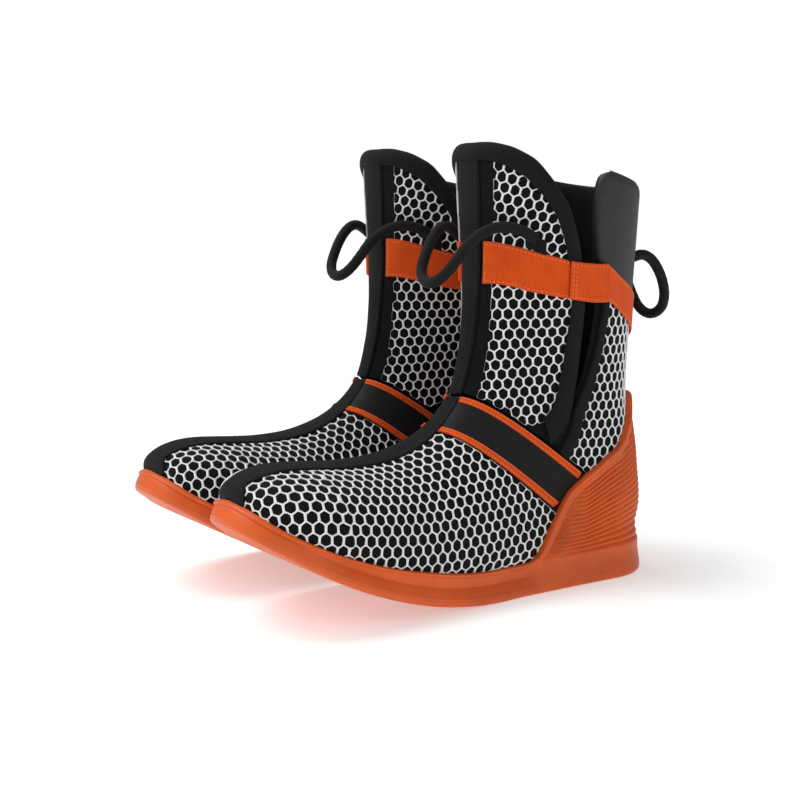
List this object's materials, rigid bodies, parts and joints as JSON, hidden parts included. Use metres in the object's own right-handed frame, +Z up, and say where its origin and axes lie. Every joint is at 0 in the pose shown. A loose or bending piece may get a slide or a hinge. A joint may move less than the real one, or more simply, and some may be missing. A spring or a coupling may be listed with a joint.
{
  "type": "ski boot liner pair",
  "caption": "Pair of soft ski inner boots: rubber cup soles, foam socks under open net panels, hinged tongues, instep elastics, cuff straps and cord pull loops.",
  "frame": {"origin": "on the floor under the middle of the pair's bounding box", "axes": "+Z up, toes toward -Y, the left boot at +X"},
  "size_m": [0.2088, 0.3256, 0.274],
  "materials": {
    "rubber": "matte moulded orange rubber",
    "board": "stitched lasting board",
    "footbed": "felt-topped foam footbed",
    "foam": "black foam with knitted lining",
    "net": "white hexagon net over black textile",
    "leather": "smooth black synthetic leather",
    "elastic": "smooth black elastic",
    "orange_webbing": "orange woven webbing",
    "black_tape": "black grosgrain tape",
    "cord": "round black braided cord"
  },
  "bodies": {
    "boots": {"left_outsole": "rubber", "left_sole_board": "board", "left_footbed": "footbed", "left_vamp_foam": "foam", "left_cuff_foam": "foam", "left_vamp_lateral": "net", "left_vamp_medial": "net", "left_vamp_spine": "black_tape", "left_elastic_lateral": "elastic", "left_elastic_medial": "elastic", "left_binding_low_lateral": "orange_webbing", "left_binding_low_medial": "orange_webbing", "left_binding_high_lateral": "orange_webbing", "left_binding_high_medial": "orange_webbing", "left_quarter_lateral": "net", "left_quarter_medial": "net", "left_piping_lateral": "black_tape", "left_piping_medial": "black_tape", "left_back_panel": "leather", "left_strap_back": "orange_webbing", "right_outsole": "rubber", "right_sole_board": "board", "right_footbed": "footbed", "right_vamp_foam": "foam", "right_cuff_foam": "foam", "right_vamp_lateral": "net", "right_vamp_medial": "net", "right_vamp_spine": "black_tape", "right_elastic_lateral": "elastic", "right_elastic_medial": "elastic", "right_binding_low_lateral": "orange_webbing", "right_binding_low_medial": "orange_webbing", "right_binding_high_lateral": "orange_webbing", "right_binding_high_medial": "orange_webbing", "right_quarter_lateral": "net", "right_quarter_medial": "net", "right_piping_lateral": "black_tape", "right_piping_medial": "black_tape", "right_back_panel": "leather", "right_strap_back": "orange_webbing"},
    "left_tongue": {"left_tongue_foam": "foam", "left_tongue_lateral": "net", "left_tongue_medial": "net", "left_tongue_spine": "black_tape", "left_tongue_binding": "black_tape", "left_tongue_patch_lateral": "orange_webbing", "left_tongue_patch_medial": "orange_webbing"},
    "left_flap": {"left_strap_flap": "orange_webbing"},
    "left_front_cord": {"left_front_loop": "cord"},
    "left_rear_cord": {"left_rear_loop": "cord"},
    "right_tongue": {"right_tongue_foam": "foam", "right_tongue_lateral": "net", "right_tongue_medial": "net", "right_tongue_spine": "black_tape", "right_tongue_binding": "black_tape", "right_tongue_patch_lateral": "orange_webbing", "right_tongue_patch_medial": "orange_webbing"},
    "right_flap": {"right_strap_flap": "orange_webbing"},
    "right_front_cord": {"right_front_loop": "cord"},
    "right_rear_cord": {"right_rear_loop": "cord"}
  },
  "joints": [
    {"name": "left_tongue_flex", "type": "hinge", "parent": "boots", "child": "left_tongue", "pos_m": [0.054, 0.0074, 0.1234], "axis": [1, 0, 0], "range_deg": [0, 25]},
    {"name": "left_strap_open", "type": "hinge", "parent": "boots", "child": "left_flap", "pos_m": [0.1018, 0.0925, 0.1908], "axis": [0.0746, -0.0086, 0.9972], "range_deg": [0, 100]},
    {"name": "left_front_loop_swing", "type": "hinge", "parent": "left_tongue", "child": "left_front_cord", "pos_m": [0.054, 0.0416, 0.218], "axis": [-1, 0, 0], "range_deg": [0, 18]},
    {"name": "left_rear_loop_swing", "type": "hinge", "parent": "boots", "child": "left_rear_cord", "pos_m": [0.054, 0.1392, 0.205], "axis": [1, 0, 0], "range_deg": [0, 18]},
    {"name": "right_tongue_flex", "type": "hinge", "parent": "boots", "child": "right_tongue", "pos_m": [-0.054, 0.0074, 0.1234], "axis": [1, 0, 0], "range_deg": [0, 25]},
    {"name": "right_strap_open", "type": "hinge", "parent": "boots", "child": "right_flap", "pos_m": [-0.1018, 0.0925, 0.1908], "axis": [0.0746, 0.0086, -0.9972], "range_deg": [0, 100]},
    {"name": "right_front_loop_swing", "type": "hinge", "parent": "right_tongue", "child": "right_front_cord", "pos_m": [-0.054, 0.0416, 0.218], "axis": [-1, 0, 0], "range_deg": [0, 18]},
    {"name": "right_rear_loop_swing", "type": "hinge", "parent": "boots", "child": "right_rear_cord", "pos_m": [-0.054, 0.1392, 0.205], "axis": [1, 0, 0], "range_deg": [0, 18]}
  ]
}
